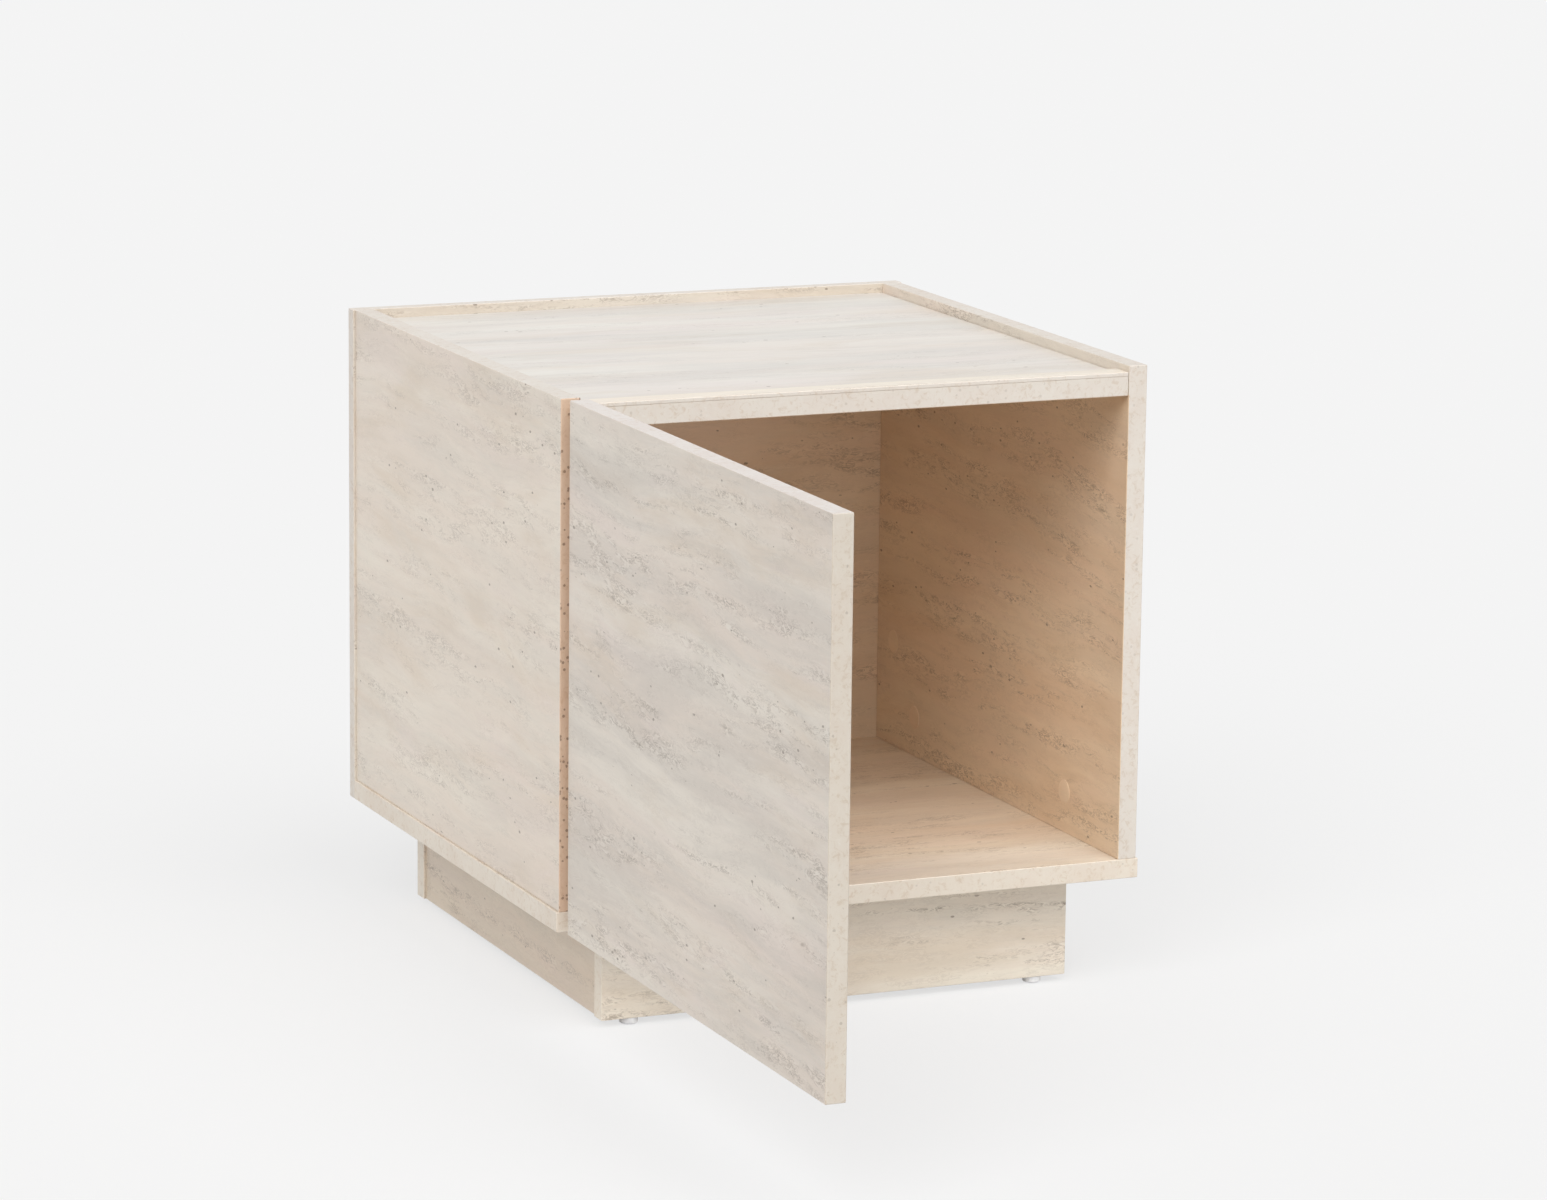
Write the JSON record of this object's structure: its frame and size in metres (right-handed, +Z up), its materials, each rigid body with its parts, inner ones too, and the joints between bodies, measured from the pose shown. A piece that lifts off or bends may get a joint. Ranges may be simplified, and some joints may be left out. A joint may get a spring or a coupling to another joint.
{
  "type": "storage side table",
  "caption": "Cube-shaped storage side table with a recessed top, a set-back plinth and a hinged door that opens onto one plain compartment.",
  "frame": {"origin": "on the floor under the middle of the cabinet with its door standing open", "axes": "+Z up, +Y to the back of the cabinet, +X to the right seen from the front"},
  "size_m": [0.5, 0.9928, 0.506],
  "materials": {
    "laminate_board": "matt travertine-print laminate on board",
    "softwood": "bare wood",
    "zinc_steel": "zinc plated",
    "hinge_steel": "nickel plated",
    "cam_metal": "die-cast, satin",
    "glide_plastic": "moulded",
    "cover_plastic": "moulded",
    "bumper_rubber": "soft clear pad"
  },
  "bodies": {
    "carcass": {"base": "laminate_board", "back": "laminate_board", "side_left": "laminate_board", "side_right": "laminate_board", "top": "laminate_board", "top_lip": "laminate_board", "plinth_front": "laminate_board", "plinth_back": "laminate_board", "plinth_left": "laminate_board", "plinth_right": "laminate_board", "plinth_blocks": "softwood", "plinth_screws": "zinc_steel", "glides": "glide_plastic", "cam_locks": "cam_metal", "cam_bolts": "zinc_steel", "cam_covers": "cover_plastic", "dowels": "softwood", "hinge_arms": "hinge_steel", "hinge_arm_pins": "hinge_steel", "hinge_plates": "hinge_steel", "hinge_plate_screws": "zinc_steel", "hinge_arm_screws": "zinc_steel"},
    "outer_links": {"hinge_outer_links": "hinge_steel"},
    "door_leaf": {"door": "laminate_board", "door_bumpers": "bumper_rubber", "hinge_cups": "hinge_steel", "hinge_cup_pins": "hinge_steel", "hinge_cup_screws": "zinc_steel"},
    "inner_links": {"hinge_inner_links": "hinge_steel"}
  },
  "joints": [
    {"name": "outer_link_turn", "type": "hinge", "parent": "carcass", "child": "outer_links", "pos_m": [-0.219, 0.01338, 0.2975], "axis": [0, 0, 1], "range_deg": [-20, 0]},
    {"name": "door_swing", "type": "hinge", "parent": "outer_links", "child": "door_leaf", "pos_m": [-0.23514, -0.00718, 0.2975], "axis": [0, 0, 1], "range_deg": [0, 110]},
    {"name": "inner_link_turn", "type": "hinge", "parent": "door_leaf", "child": "inner_links", "pos_m": [-0.23174, -0.00888, 0.2975], "axis": [0, 0, 1], "range_deg": [-123.4, 0]}
  ],
  "couplings": [
    {"joint": "outer_link_turn", "follows": "door_swing", "ratio": -0.18182},
    {"joint": "inner_link_turn", "follows": "door_swing", "ratio": -1.1212}
  ]
}
